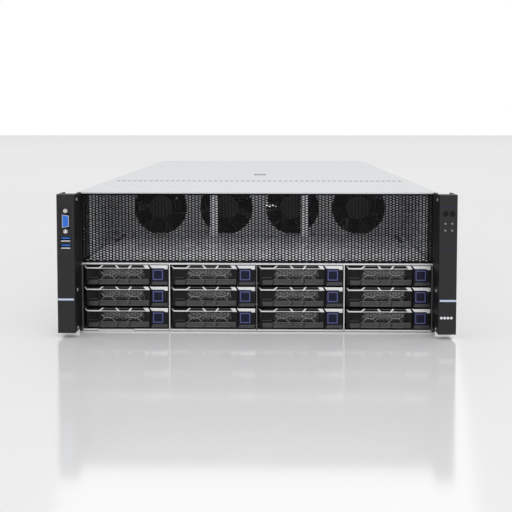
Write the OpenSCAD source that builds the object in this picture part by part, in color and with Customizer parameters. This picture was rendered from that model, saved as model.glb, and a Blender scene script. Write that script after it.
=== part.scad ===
// Four-unit rack server for accelerator cards.
// X runs to the right as seen from the front, the front faces -Y, Z is up.
// The origin is the middle of the footprint, on the underside of the base pan.

/* [Chassis] */
// Width over the two rack ears
rack_w = 482.6; // [474:0.2:490]
// Height of the body
chassis_h = 175; // [172:0.5:177]
// Depth of the body behind its front plane
chassis_d = 798; // [780:1:860]
// Thickness of the folded steel sheet
sheet_t = 1.2; // [1:0.1:1.5]
// Thickness of the lid sheet
lid_t = 1; // [0.8:0.1:1.2]
// Depth of the fixed front part of the lid
front_panel_d = 198; // [190:1:205]
// Height of the lid's side skirts
skirt_h = 12; // [8:1:16]
// Height of the front lip of the base pan
lip_h = 2.6; // [2.2:0.1:2.8]

/* [Rack ears] */
// How far the ears stand in front of the body
ear_d = 34; // [30:1:38]
// Width of an ear
ear_w = 21.9; // [20:0.1:22.5]
// Height of an ear's foot above the floor
ear_foot = 6; // [5:0.5:8]
// Gap between an ear and the panel between the ears
ear_gap = 0.5; // [0.3:0.1:0.8]
// Rounding of an ear's front corners
ear_round = 1.6; // [1:0.1:2]
// Height of the coloured stripe on an ear
stripe_h = 2.4; // [2:0.1:3]
// Height of the stripe above the ear's foot
stripe_z = 40; // [36:1:44]

/* [Drive bays] */
// Height of one bay
bay_pitch_z = 27.05; // [27:0.05:27.4]
// Width of a bay that its carrier leaves free
bay_play = 3.8; // [3.2:0.1:4]
// Height of a carrier
carrier_h = 25; // [24.6:0.1:25.2]
// Depth of the cage
cage_d = 164; // [163:0.5:166]
// Length of a disk
disk_d = 146; // [144:0.5:147]
// Height of a disk
disk_h = 25.4; // [24:0.1:26]

/* [Levers and buttons] */
// Thickness of a lever
lever_t = 5; // [4:0.25:6]
// Radius of a lever's hinge barrel
barrel_r = 3; // [2.6:0.1:3.2]
// Radius of a lever's hinge pin
hinge_pin_r = 1; // [0.8:0.1:1.2]
// Side of a square release button
button_w = 14.6; // [14:0.1:15]
// Travel of a release button
button_travel = 1.5; // [1:0.1:2]

/* [Intake] */
// Pitch of the intake holes across
mesh_pitch_x = 10.4; // [9.6:0.1:12]
// Pitch of the intake holes up
mesh_pitch_z = 7.5; // [7:0.1:9]
// Web left between two intake holes
mesh_web = 1.8; // [1.4:0.1:2.4]
// Plain border of the intake panel
mesh_border = 4; // [3:0.5:6]

/* [Fans] */
// Distance of the fan wall behind the front
fan_wall_y = 276; // [272:1:280]
// Side of a fan's frame
fan_size = 92; // [90:0.5:92]
// Depth of a fan's frame
fan_d = 38; // [32:1:40]
// Number of blades
fan_blades = 7; // [5:1:9]

/* [Rear] */
// Number of double-width cards
card_count = 8; // [4:1:8]
// Length of a card
card_d = 267; // [240:1:268]
// Height of a power supply
supply_h = 40; // [38:0.5:41]
// Length of a power supply
supply_d = 265; // [240:1:270]
// Reach of a power supply's handle behind the body
handle_reach = 24; // [20:1:30]

/* [Hidden] */
$fn = 48;
clearance = 0.3;

bay_columns = 4;
bay_rows = 3;

// Placing: everything is drawn from the body's front plane and moved to the middle at the end
front_y = ear_d - (ear_d + chassis_d + handle_reach) / 2;

// Body: the bays fill the width that the ears leave, and the side walls stand close beside them
mesh_w = rack_w - 2 * (ear_w + ear_gap);
bays_w = mesh_w - 1;
chassis_w = bays_w + 11.2;
lid_z = chassis_h - lid_t;
wall_out = chassis_w / 2 - lid_t - clearance;
wall_in = wall_out - sheet_t;
wall_top = lid_z - clearance;
flange_w = 10;
seam_gap = 1;
cover_y = front_panel_d + seam_gap;
seam_slots = 27;
seam_slot = [9, 1.6];

// Drive bays
bay_pitch_x = bays_w / bay_columns;
carrier_w = bay_pitch_x - bay_play;
disk_w = carrier_w - 3.8;
bay_floor = lip_h + 1.7;
cage_top = bay_floor + bay_rows * bay_pitch_z - 0.95;
cage_out = bays_w / 2 + sheet_t / 2;
runner_w = (bay_play - sheet_t) / 2 + 1.5;
runner_t = 1;
bezel_d = 14;
bezel_y = -1;
tray_t = 1.6;
disk_y = bezel_y + bezel_d + 1.4;
board_t = 2;
backplane_y = cage_d + 1;

// Levers and buttons
hinge_x = barrel_r + 0.6;
hinge_y = bezel_y + barrel_r + 0.2;
lever_z = 1.5;
button_x = carrier_w - 20.4;
lever_reach = button_x - 2;
vent_x = [18.7, lever_reach - 5.6];
vent_z = [7.4, 19.6];
lever_splits = [vent_x[0] - 1.1, lever_reach * 0.494, lever_reach * 0.675];
trim_w = 1.3;
trim_t = 0.4;
cell = 4.6;
cell_web = 1;
trim_h = 3.7;
button_z = 5.9;
button_d = 6;

// Intake
mesh_z = cage_top + 2.4;
mesh_top = lid_z - 0.8;
mesh_t = 1;
mesh_rim_d = 8;

// Ears
ear_h = chassis_h - ear_foot;
bracket_d = 62;
vga_z = chassis_h - 32.4;
usb_z = [vga_z - 30.4, vga_z - 21.7];
port_x = (rack_w - ear_w) / 2;
port_pocket = [13, 2, 33];
key_z = chassis_h - 22.6;
key_r = 3;
key_x = [rack_w / 2 - 14.6, rack_w / 2 - 6.5];
key_d = 6.4;
key_travel = 1;
lamp_z = [key_z - 20.1, key_z - 11.8];
dot_x = rack_w / 2 - 12.2;
dot_z = ear_foot + 20.3;
dot_pitch = 4;
lamp_r = 1.2;

// Fans
fan_pitch = (chassis_w - 28) / 4;
fan_z = wall_top - fan_size / 2 - 1.6;
fan_bore_r = fan_size / 2 - 2.5;
fan_open_r = fan_size / 2 - 4;
hub_r = 19;
blade_r = fan_bore_r - 1.2;
motor_d = 6;
axle_r = 1.5;
post_x = fan_pitch * 2 / 3;
post_y = 237;
post_w = 11;

// Rear
rear_y = chassis_d - sheet_t;
riser_z = 55;
card_slots = 8;
blank_field = 58.94;
card_pitch = 2 * (wall_in - blank_field) / card_slots;
cards_w = card_slots * card_pitch;
card_z = riser_z + board_t + 7;
card_h = lid_z - card_z - 3;
supply_z = sheet_t + clearance;
socket_field = chassis_w * 0.15234;
supply_side = 3.25;
supply_gap = 3;
supply_w = (wall_in - socket_field - supply_side - supply_gap) / 2;
supply_out = wall_in - supply_side - supply_w / 2;
supply_in = supply_out - supply_gap - supply_w;
supply_x = [-supply_out, -supply_in, supply_in, supply_out];
shelf_z = supply_z + supply_h + clearance;
main_board_z = 8;
main_board_y = fan_wall_y + fan_d + 16;
cooler_y = main_board_y + 76;

// Where the cover's latch sits
latch_y = fan_wall_y + fan_d + 22;
latch_w = 18;
latch_d = 36;
latch_deep = 7;
latch_axis_y = latch_y - latch_d / 2 + 5;
latch_axis_z = chassis_h - 3.4;
latch_pin_r = 1;

// Pull-out information tag
tag_w = 45;
tag_x = 19.4 - bays_w / 2;
tag_d = 74;
tag_pull_d = 1.6;

// Sockets on the rear wall: middle as a share of the field's half width, width, height
sockets = [for (s = [[-0.7326, 16, 14], [-0.4542, 16, 14], [-0.1612, 14, 16], [0.2637, 31, 12], [0.674, 14, 12]])
    [s[0] * socket_field, s[1], s[2]]];
socket_z = 12;
socket_d = 18;

// Studs for the slide rails
stud_r = 4;
stud_l = 3.6;
stud_z = 98;
stud_y = [70, chassis_d - 468, chassis_d - 238, chassis_d - 58];

// Moves a group from the front plane to the middle of the footprint
module placed() {
    translate([0, front_y, 0]) children();
}

// An upright sheet: the outline lies in X and Z, from y to y + t
module upright(y, t) {
    translate([0, y + t, 0]) rotate([90, 0, 0]) linear_extrude(t) children();
}

// A box from its low corner to its high corner
module block(low, high) {
    translate(low) cube(high - low);
}

// A rectangle from its low corner to its high corner
module patch(low, high) {
    translate(low) square(high - low);
}

// The same thing on both sides of the body
module both_sides() {
    for (side = [0, 1]) mirror([side, 0, 0]) children();
}

// A six-sided hole, w wide and h high
function six_sided(x, z, w, h) =
    [for (a = [0:60:300]) [x + w / 2 * cos(a), z + h / 2 * sin(a) / sin(60)]];

// A rectangle pierced by a staggered field of six-sided holes, with a plain border
module pierced(low, high, border, pitch, hole) {
    difference() {
        patch(low, high);
        for (p = field(low + [border, border], high - [border, border], pitch, hole))
            polygon(six_sided(p[0], p[1], hole[0], hole[1]));
    }
}

// Middles of a staggered field of holes that fit whole in a rectangle
function field(low, high, pitch, size) =
    let (
        nx = floor((high[0] - low[0] - size[0]) / pitch[0]),
        nz = floor((high[1] - low[1] - size[1]) / pitch[1] - 0.5),
        x0 = (low[0] + high[0] - nx * pitch[0]) / 2,
        z0 = (low[1] + high[1] - (nz + 0.5) * pitch[1]) / 2
    )
    [for (i = [0:nx], k = [0:nz]) [x0 + i * pitch[0], z0 + (k + (i % 2) / 2) * pitch[1]]];

// A pan-head screw with its head on +Y and a cross recess
module screw_head(r, t) {
    rotate([90, 0, 0]) difference() {
        cylinder(r = r, h = t);
        for (a = [0, 90]) rotate(a) translate([-r * 0.6, -0.3, t / 2]) cube([r * 1.2, 0.6, t]);
    }
}

// Base pan and side walls of folded sheet, with the front lip, the supply shelves and the rail studs
module chassis_tub() {
    placed() {
        color("gainsboro") {
            difference() {
                union() {
                    block([-wall_out, 0, 0], [wall_out, chassis_d, sheet_t]);
                    block([-bays_w / 2, 0, 0], [bays_w / 2, sheet_t, lip_h]);
                    both_sides() {
                        block([wall_in, 0, 0], [wall_out, chassis_d, wall_top]);
                        block([wall_in - flange_w, front_panel_d / 3, wall_top - sheet_t],
                              [wall_out, rear_y, wall_top]);
                    }
                }
                block([tag_x - clearance, -1, -1], [tag_x + tag_w + clearance, tag_pull_d + clearance, lip_h + 1]);
            }
            supply_bays();
            both_sides() rail_studs();
        }
    }
}

// Shelves over the two pairs of power supplies, folded down between them
module supply_bays() {
    shelf_y = rear_y - supply_d + 20;
    both_sides() difference() {
        block([supply_x[2] - supply_w / 2 - sheet_t - clearance, shelf_y, sheet_t],
              [wall_in, rear_y, shelf_z + sheet_t]);
        block([supply_x[2] - supply_w / 2 - clearance, shelf_y - 1, 0], [wall_in + 1, rear_y + 1, shelf_z]);
    }
}

// Shoulder studs that hang the body in its slide rails
module rail_studs() {
    for (y = stud_y) translate([wall_out, y, stud_z]) rotate([0, 90, 0]) cylinder(r = stud_r, h = stud_l);
}

// Rear wall with openings for the cards, the supplies and the sockets
module rear_panel() {
    placed() {
        color("gainsboro") {
            upright(rear_y, sheet_t) rear_outline();
            both_sides() block([wall_in - sheet_t, rear_y - 12, shelf_z + sheet_t],
                               [wall_in, rear_y, wall_top - sheet_t]);
        }
        color("dimgray") rear_sockets();
        color("gainsboro") blank_slots();
    }
}

// The rear wall's outline with its openings
module rear_outline() {
    vent = [5, 4.2];
    difference() {
        patch([-wall_in, sheet_t], [wall_in, wall_top - sheet_t]);
        for (x = supply_x) patch([x - supply_w / 2 - clearance, 0],
                                 [x + supply_w / 2 + clearance, shelf_z]);
        for (i = [0:card_count - 1]) translate([card_x(i), 0]) slot_opening(card_pitch - 6);
        both_sides() for (x = blank_slot_x()) translate([x, 0]) slot_opening(16);
        for (p = field([-62, shelf_z + 1], [62, riser_z - 1], vent + [1.4, 1.2], vent))
            polygon(six_sided(p[0], p[1], vent[0], vent[1]));
        for (socket = sockets) patch([socket[0] - socket[1] / 2, socket_z],
                                     [socket[0] + socket[1] / 2, socket_z + socket[2]]);
    }
}

// The opening that one card's bracket closes
module slot_opening(w) {
    patch([-w / 2, riser_z + board_t + 4], [w / 2, wall_top - sheet_t - 6]);
}

// Middle of a card's slot; fewer cards than slots stand in the middle
function card_x(i) = (i - (card_count - 1) / 2) * card_pitch;

// Single slots beside the cards, closed by blanks
function blank_slot_x() = [for (k = [0, 1]) cards_w / 2 + 13 + k * 21];

// Blanks with a row of vents, each hooked over the edge of its slot
module blank_slots() {
    z0 = riser_z + board_t + 3;
    z1 = wall_top - sheet_t - 5;
    both_sides() for (x = blank_slot_x()) upright(rear_y - 1, 1) difference() {
        patch([x - 9, z0], [x + 9, z1]);
        for (z = [z0 + 12:8:z1 - 12]) patch([x - 6, z], [x + 6, z + 3]);
    }
}

// Hollow shells of the rear sockets, each with its tongue
module rear_sockets() {
    for (socket = sockets) {
        low = [socket[0] - socket[1] / 2, rear_y - socket_d, socket_z];
        high = [socket[0] + socket[1] / 2, chassis_d, socket_z + socket[2]];
        difference() {
            block(low, high);
            block([low[0] + 1, high[1] - 11, low[2] + 1], [high[0] - 1, high[1] + 1, high[2] - 1]);
        }
    }
}

// Fixed front part of the lid, folded down at the front and the sides
module front_top_panel() {
    placed() color("whitesmoke") {
        difference() {
            union() {
                block([-chassis_w / 2, 0, lid_z], [chassis_w / 2, front_panel_d, chassis_h]);
                block([-mesh_w / 2, 0, lid_z - 0.8 + clearance / 2], [mesh_w / 2, lid_t, lid_z]);
                both_sides() block([chassis_w / 2 - lid_t, bracket_d, chassis_h - skirt_h],
                                   [chassis_w / 2, front_panel_d, lid_z]);
            }
            for (i = [0:seam_slots - 1])
                translate([(i - (seam_slots - 1) / 2) * chassis_w / (seam_slots + 1), front_panel_d - 4, 0])
                    block([-seam_slot[0] / 2, 0, lid_z - 1], [seam_slot[0] / 2, seam_slot[1], chassis_h + 1]);
        }
    }
}

// Removable cover with side skirts and a sunken well for its latch
module top_cover() {
    well = [latch_w / 2 + 1, latch_d / 2 + 1];
    placed() color("whitesmoke") {
        difference() {
            union() {
                block([-chassis_w / 2, cover_y, lid_z], [chassis_w / 2, chassis_d, chassis_h]);
                both_sides() block([chassis_w / 2 - lid_t, cover_y, chassis_h - skirt_h],
                                   [chassis_w / 2, chassis_d, lid_z]);
                block([-well[0] - lid_t, latch_y - well[1] - lid_t, lid_z - latch_deep],
                      [well[0] + lid_t, latch_y + well[1] + lid_t, lid_z]);
            }
            block([-well[0], latch_y - well[1], lid_z - latch_deep + lid_t],
                  [well[0], latch_y + well[1], chassis_h + 1]);
        }
        translate([-well[0], latch_axis_y, latch_axis_z]) rotate([0, 90, 0])
            cylinder(r = latch_pin_r, h = 2 * well[0]);
    }
}

// Lever that frees the cover, hinged near the front of its well
module cover_latch() {
    placed() color("dimgray") difference() {
        union() {
            block([-latch_w / 2, latch_axis_y, latch_axis_z - 1.2],
                  [latch_w / 2, latch_y + latch_d / 2 - 6, latch_axis_z + 1.8]);
            translate([-latch_w / 2, latch_axis_y, latch_axis_z]) rotate([0, 90, 0])
                cylinder(r = 2.4, h = latch_w);
            block([-latch_w / 2, latch_y + latch_d / 2 - 8, latch_axis_z - 2.4],
                  [latch_w / 2, latch_y + latch_d / 2 - 6, latch_axis_z + 1.8]);
        }
        translate([-latch_w, latch_axis_y, latch_axis_z]) rotate([0, 90, 0])
            cylinder(r = latch_pin_r + clearance, h = 2 * latch_w);
        for (k = [0:4]) block([-latch_w / 2 + 2, latch_y + k * 3 - 2, latch_axis_z + 1.2],
                              [latch_w / 2 - 2, latch_y + k * 3 - 0.6, latch_axis_z + 3]);
    }
}

// Height of the floor of a row of bays, counted from the top row
function row_z(r) = bay_floor + (bay_rows - r) * bay_pitch_z;

// Left side of a carrier in a column
function column_x(c) = (c - 1 - bay_columns / 2) * bay_pitch_x + (bay_pitch_x - carrier_w) / 2;

// Cage of upright dividers with runners for the carriers, under one plate
module drive_cage() {
    placed() color("silver") {
        for (c = [0:bay_columns]) {
            x = (c - bay_columns / 2) * bay_pitch_x;
            block([x - sheet_t / 2, 0, sheet_t], [x + sheet_t / 2, cage_d, cage_top]);
            for (r = [1:bay_rows]) {
                z = row_z(r) - clearance;
                low = c == 0 ? x : x - sheet_t / 2 - runner_w;
                high = c == bay_columns ? x : x + sheet_t / 2 + runner_w;
                block([low, bezel_d + 2, z - runner_t], [high, cage_d, z]);
            }
        }
        difference() {
            block([-cage_out, 0, cage_top], [cage_out, cage_d, cage_top + sheet_t]);
            for (x = [-bays_w / 2 + 30:42:bays_w / 2 - 30]) translate([x, cage_d - 24, 0])
                block([-12, 0, cage_top - 1], [12, 8, cage_top + sheet_t + 1]);
        }
        block([-cage_out, 0, cage_top - 0.3], [cage_out, sheet_t, cage_top + 1.7]);
        both_sides() block([cage_out, sheet_t, sheet_t], [wall_in, sheet_t * 2, cage_top]);
        both_sides() block([cage_out, cage_d - sheet_t, sheet_t], [wall_in, cage_d, cage_top]);
    }
}

// Circuit board behind the cage, with a connector for each disk and air gaps between them
module drive_backplane() {
    bottom = sheet_t + 0.2;
    placed() {
        color("darkgreen") upright(backplane_y, board_t) difference() {
            patch([-cage_out, bottom], [cage_out, cage_top - 0.5]);
            for (r = [1:bay_rows], c = [1:bay_columns]) translate([column_x(c), row_z(r)]) {
                patch([8, 4], [30, carrier_h - 4]);
                patch([carrier_w - 27.4, 4], [carrier_w - 7.4, carrier_h - 4]);
            }
        }
        color("black") for (r = [1:bay_rows], c = [1:bay_columns])
            translate([column_x(c) + 34, 0, row_z(r) + 3])
                block([0, disk_y + disk_d + clearance, 0], [38, backplane_y, 6]);
    }
}

// Perforated intake panel with a rim folded back all round
module intake_mesh() {
    low = [-mesh_w / 2, mesh_z];
    high = [mesh_w / 2, mesh_top];
    pitch = [mesh_pitch_x, mesh_pitch_z];
    placed() color([0.06, 0.06, 0.07]) {
        upright(0, mesh_t) pierced(low, high, mesh_border, pitch, pitch - [mesh_web, mesh_web]);
        upright(mesh_t, mesh_rim_d) difference() {
            patch(low, high);
            patch(low + [mesh_t, mesh_t], high - [mesh_t, mesh_t]);
        }
    }
}

// Wall that carries the four fans, their frames and the plate and posts in front of it
module fan_wall() {
    placed() {
        color("silver") upright(fan_wall_y, sheet_t) difference() {
            patch([-wall_in, sheet_t], [wall_in, wall_top - sheet_t]);
            for (i = [1:4]) translate([fan_x(i), fan_z]) circle(r = fan_open_r);
            for (i = [1:4]) patch([fan_x(i) - 30, 14], [fan_x(i) + 30, 52]);
        }
        color("silver") difference() {
            block([-wall_in, cage_d + 5, cage_top], [wall_in, fan_wall_y, cage_top + sheet_t]);
            both_sides() block([wall_in - 14, cage_d + 12, cage_top - 1], [wall_in - 6, fan_wall_y - 12, cage_top + 9]);
        }
        color("silver") both_sides() difference() {
            block([post_x - post_w / 2, post_y, cage_top + sheet_t], [post_x + post_w / 2, post_y + 8, wall_top - 1]);
            block([post_x - post_w / 2 + sheet_t, post_y + sheet_t, 0], [post_x + post_w / 2 - sheet_t, post_y + 20, chassis_h]);
        }
        color([0.12, 0.12, 0.13]) for (i = [1:4]) translate([fan_x(i), fan_wall_y + sheet_t, fan_z]) fan_frame();
    }
}

function fan_x(i) = (i - 2.5) * fan_pitch;

// A square fan frame with its motor seat on four arms at the back
module fan_frame() {
    difference() {
        block([-fan_size / 2, 0, -fan_size / 2], [fan_size / 2, fan_d, fan_size / 2]);
        translate([0, -1, 0]) rotate([-90, 0, 0]) cylinder(r = fan_bore_r, h = fan_d + 2);
        translate([-fan_size, 6, -fan_size / 2 + 9]) cube([2 * fan_size, fan_d - 12, fan_size - 18]);
    }
    difference() {
        translate([0, 5, 0]) rotate([-90, 0, 0]) cylinder(r = fan_size / 2 - 1, h = fan_d - 10);
        translate([0, 4, 0]) rotate([-90, 0, 0]) cylinder(r = fan_bore_r, h = fan_d);
    }
    difference() {
        union() {
            translate([0, fan_d - motor_d, 0]) rotate([-90, 0, 0]) cylinder(r = hub_r - 1, h = motor_d);
            for (a = [45:90:315]) rotate([0, a, 0]) block([0, fan_d - 4, -2], [fan_bore_r + 1, fan_d, 2]);
        }
        translate([0, fan_d - motor_d - 1, 0]) rotate([-90, 0, 0]) cylinder(r = axle_r + clearance, h = motor_d);
    }
}

// One fan's rotor: a cup-shaped hub, its axle and leaning blades
module fan_rotor(i) {
    rotor_d = fan_d - motor_d - 5;
    placed() translate([fan_x(i), fan_wall_y + sheet_t + 4, fan_z]) color([0.1, 0.1, 0.11]) {
        difference() {
            rotate([-90, 0, 0]) cylinder(r = hub_r, h = rotor_d);
            translate([0, 3, 0]) rotate([-90, 0, 0]) cylinder(r = hub_r - 2, h = rotor_d);
        }
        rotate([-90, 0, 0]) cylinder(r = axle_r, h = rotor_d + 4);
        intersection() {
            union() for (k = [0:fan_blades - 1]) rotate([0, k * 360 / fan_blades, 0])
                translate([hub_r - 1, rotor_d / 2, 0]) rotate([38, 0, 0])
                    block([0, -rotor_d * 0.75, -0.9], [blade_r, rotor_d * 0.75, 0.9]);
            difference() {
                translate([0, 1, 0]) rotate([-90, 0, 0]) cylinder(r = blade_r, h = rotor_d - 2);
                translate([0, -1, 0]) rotate([-90, 0, 0]) cylinder(r = hub_r - 1, h = rotor_d + 2);
            }
        }
    }
}

// A thin tag with a turned-down pull, under the lowest drives
module info_tag() {
    placed() color("silver") {
        block([tag_x, -tag_pull_d, 0.3], [tag_x + tag_w, tag_pull_d, lip_h - 0.3]);
        block([tag_x + 1, 0, sheet_t + clearance], [tag_x + tag_w - 1, tag_d, lip_h - 0.3]);
    }
}

// Lower board with the processors' coolers and the memory, and the upper riser board
module circuit_boards() {
    placed() {
        color("darkgreen") {
            block([-wall_in + 3, main_board_y, main_board_z], [wall_in - 3, rear_y - supply_d - 6, main_board_z + board_t]);
            block([-62, main_board_y, main_board_z], [62, rear_y - socket_d - 1, main_board_z + board_t]);
            block([-wall_in + 3, rear_y - card_d - 40, riser_z], [wall_in - 3, rear_y - 14, riser_z + board_t]);
        }
        color("silver") {
            for (x = [-190, -95, 0, 95, 190]) for (y = [main_board_y + 12, rear_y - supply_d - 20])
                translate([x, y, sheet_t]) cylinder(r = 3, h = main_board_z - sheet_t);
            for (x = [-55, 55]) for (y = [rear_y - 220, rear_y - 60]) {
                translate([x, y, sheet_t]) cylinder(r = 3, h = main_board_z - sheet_t);
                translate([x, y, main_board_z + board_t]) cylinder(r = 3, h = riser_z - main_board_z - board_t);
            }
            for (x = [-95, 95]) translate([x, cooler_y, main_board_z + board_t]) cooler();
        }
        color("dimgray") for (side = [-1, 1], k = [0:5])
            translate([side * 95, cooler_y, main_board_z + board_t]) memory_pair(k);
    }
}

// Finned processor cooler on its base, with the fins along the airflow
module cooler() {
    block([-40, -40, 0], [40, 40, 8]);
    for (k = [0:15]) translate([-39 + k * 5.2, 0, 0]) block([-0.5, -40, 7], [0.5, 40, 38]);
}

// Memory modules on the two sides of a cooler
module memory_pair(k) {
    for (side = [-1, 1]) translate([side * (48 + k * 7), 0, 0]) {
        block([-2.4, -70, 0], [2.4, 70, 6]);
        block([-0.7, -66, 5], [0.7, 66, 31]);
    }
}

// Eight double-width cards standing on the riser board, each with its bracket on the rear wall
module accelerator_cards() {
    placed() for (i = [0:card_count - 1]) translate([card_x(i), 0, 0]) accelerator_card();
}

// One card: board, shroud open at its ends with fins inside, edge connector and vented bracket
module accelerator_card() {
    w = card_pitch - 4;
    y0 = rear_y - card_d;
    y1 = rear_y - 1;
    color("darkgreen") {
        block([w / 2 - 1.6, y0, card_z], [w / 2, y1, card_z + card_h - 6]);
        block([w / 2 - 1.6, y1 - 100, riser_z + board_t], [w / 2, y1 - 14, card_z]);
    }
    color([0.2, 0.2, 0.22]) {
        difference() {
            block([-w / 2, y0, card_z + 1], [w / 2 - 1.6, y1, card_z + card_h - 6]);
            block([-w / 2 + 1.5, y0 - 1, card_z + 3], [w / 2 - 3, y1 + 1, card_z + card_h - 8]);
        }
        for (k = [1:5]) translate([-w / 2 + k * w / 6.3, 0, 0])
            block([-0.5, y0 + 30, card_z + 3], [0.5, y1 - 30, card_z + card_h - 8]);
    }
    color("silver") upright(y1, 1) difference() {
        patch([-w / 2 - 0.2, riser_z + board_t + 3], [w / 2 + 0.2, wall_top - sheet_t - 5]);
        for (z = [card_z + 8:9:card_z + card_h - 20]) patch([-w / 2 + 4, z], [w / 2 - 5, z + 5]);
    }
}

// One power supply: a box with a fan grille, an inlet, a pull handle and a side catch
module power_supply(i) {
    face_y = chassis_d + 1;
    placed() translate([supply_x[i - 1], 0, supply_z]) {
        color("silver") difference() {
            block([-supply_w / 2, rear_y - supply_d, 0], [supply_w / 2, face_y, supply_h]);
            translate([-14, face_y + 1, supply_h / 2]) rotate([90, 0, 0]) cylinder(r = 17.5, h = 12);
            block([10, face_y - 12, 6], [supply_w / 2 - 4, face_y + 1, 26]);
            block([-supply_w / 2 + 3, rear_y - supply_d - 1, 3], [supply_w / 2 - 3, rear_y - supply_d + 8, supply_h - 12]);
        }
        color("black") {
            translate([-14, face_y - 11, supply_h / 2]) supply_fan();
            block([13, face_y - 12, 9], [supply_w / 2 - 7, face_y - 2, 23]);
            supply_handle(face_y);
        }
        color("royalblue") block([supply_w / 2 - 9, face_y, 29], [supply_w / 2 - 4, face_y + 12, 36]);
    }
}

// Grille of rings and arms over a power supply's own fan
module supply_fan() {
    for (r = [5:4:17]) rotate([-90, 0, 0]) difference() {
        cylinder(r = r, h = 1.2);
        translate([0, 0, -1]) cylinder(r = r - 1, h = 4);
    }
    for (a = [0:60:300]) rotate([0, a, 0]) block([4, 0, -0.5], [17.4, 1.2, 0.5]);
}

// Bent bar that the hand pulls, above the inlet
module supply_handle(y) {
    r = 5;
    translate([0, 0, supply_h - 8]) {
        for (x = [-28, 20]) block([x, y, -2], [x + 4, y + handle_reach - 1 - r, 2]);
        block([-28 + r, y + handle_reach - 5, -2], [24 - r, y + handle_reach - 1, 2]);
        translate([-28 + r, y + handle_reach - 1 - r, 0]) handle_bend(180);
        translate([24 - r, y + handle_reach - 1 - r, 0]) handle_bend(90);
    }
}

// Quarter bend of the handle bar: inner radius 1, outer radius 5
module handle_bend(turn) {
    rotate([0, 0, turn - 90]) translate([0, 0, -2]) linear_extrude(4) difference() {
        intersection() {
            circle(r = 5);
            square(6);
        }
        circle(r = 1);
    }
}

// Left ear with its display and data sockets
module left_ear() {
    placed() {
        mirror([1, 0, 0]) {
            color([0.13, 0.13, 0.14]) difference() {
                ear_body();
                translate([port_x, -ear_d, vga_z]) vga_outline(1, 8);
                block([port_x, -ear_d, vga_z] - port_pocket / 2, [port_x, -ear_d, vga_z] + port_pocket / 2);
                for (z = usb_z) block([port_x - 7.2, -ear_d - 1, z - 3.2], [port_x + 7.2, -ear_d + 12, z + 3.2]);
            }
            color("cornflowerblue") ear_stripe();
            color("silver") ear_bracket();
        }
        color("royalblue") translate([-port_x, -ear_d + 1, vga_z]) vga_outline(-0.6, 7);
        color("silver") for (z = [-12.5, 12.5]) translate([-port_x, -ear_d + 1, vga_z + z]) jack_post();
        for (z = usb_z) translate([-port_x, -ear_d, z]) usb_socket();
    }
}

// Ear body: a tall box with round front edges, hollow from the back
module ear_body() {
    x0 = rack_w / 2 - ear_w;
    difference() {
        translate([0, 0, ear_foot]) linear_extrude(ear_h) difference() {
            union() {
                patch([x0, -ear_d + ear_round], [rack_w / 2, 0]);
                patch([x0 + ear_round, -ear_d], [rack_w / 2 - ear_round, 0]);
                translate([x0 + ear_round, -ear_d + ear_round]) circle(r = ear_round);
                translate([rack_w / 2 - ear_round, -ear_d + ear_round]) circle(r = ear_round);
            }
            translate([x0 + 2.5, -ear_d + 14]) square([ear_w - 5, ear_d]);
        }
        ear_stripe_groove();
    }
}

// The stripe's groove, over the ear's face and round its outer side
module ear_stripe_groove() {
    x0 = rack_w / 2 - ear_w + ear_round;
    z = ear_foot + stripe_z;
    difference() {
        block([x0, -ear_d - 1, z], [rack_w / 2 + 1, -ear_d + 12, z + stripe_h]);
        block([x0 - 1, -ear_d + 1, z - 1], [rack_w / 2 - 1, -ear_d + 14, z + stripe_h + 1]);
    }
}

// The stripe itself, a moulded strip in its groove
module ear_stripe() {
    x0 = rack_w / 2 - ear_w + ear_round;
    z = ear_foot + stripe_z;
    difference() {
        translate([0, 0, z]) linear_extrude(stripe_h) union() {
            patch([x0, -ear_d + ear_round], [rack_w / 2 - 0.2, -ear_d + 12]);
            patch([x0, -ear_d + 0.2], [rack_w / 2 - ear_round, -ear_d + 12]);
        }
        block([x0 - 1, -ear_d + 1, z - 1], [rack_w / 2 - 1, -ear_d + 14, z + stripe_h + 1]);
    }
}

// Folded bracket that ties the ear to the side wall, with its screws
module ear_bracket() {
    block([wall_out, 0, ear_foot], [rack_w / 2 - 0.5, 2, chassis_h - skirt_h - 2]);
    block([wall_out, 2, ear_foot], [wall_out + 1.5, bracket_d, chassis_h - skirt_h - 2]);
    for (z = [ear_foot + 21, chassis_h - 98, chassis_h - 38], y = [20, bracket_d - 14])
        translate([wall_out + 1.5, y, z]) rotate([0, 0, -90]) rotate([0, 180, 0]) screw_head(3, 1);
}

// Outline of a display socket, grown by a margin, going back by d
module vga_outline(margin, d) {
    h = 8.2 + margin;
    w = 4 + margin / 2;
    rotate([-90, 0, 0]) linear_extrude(d) polygon([[-w, -h], [w, -h + 1.2], [w, h - 1.2], [-w, h]]);
}

// Hexagonal jack post of the display socket, with a threaded hole
module jack_post() {
    rotate([90, 0, 0]) difference() {
        cylinder(r = 2.8, h = 0.9, $fn = 6);
        translate([0, 0, -1]) cylinder(r = 1.3, h = 5);
    }
}

// Data socket: a metal shell with its blue tongue
module usb_socket() {
    color("silver") difference() {
        block([-7, 0.2, -3], [7, 11.8, 3]);
        block([-6.4, -1, -2.4], [6.4, 10, 2.4]);
    }
    color("royalblue") block([-5.6, 2, 0.2], [5.6, 10, 1.8]);
}

// Places of the status lamps: four under the keys and a row of four near the foot
function lamps() = concat([for (x = key_x, z = lamp_z) [x, z]],
    [for (k = [0:3]) [dot_x + (k - 1.5) * dot_pitch, dot_z]]);

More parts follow.
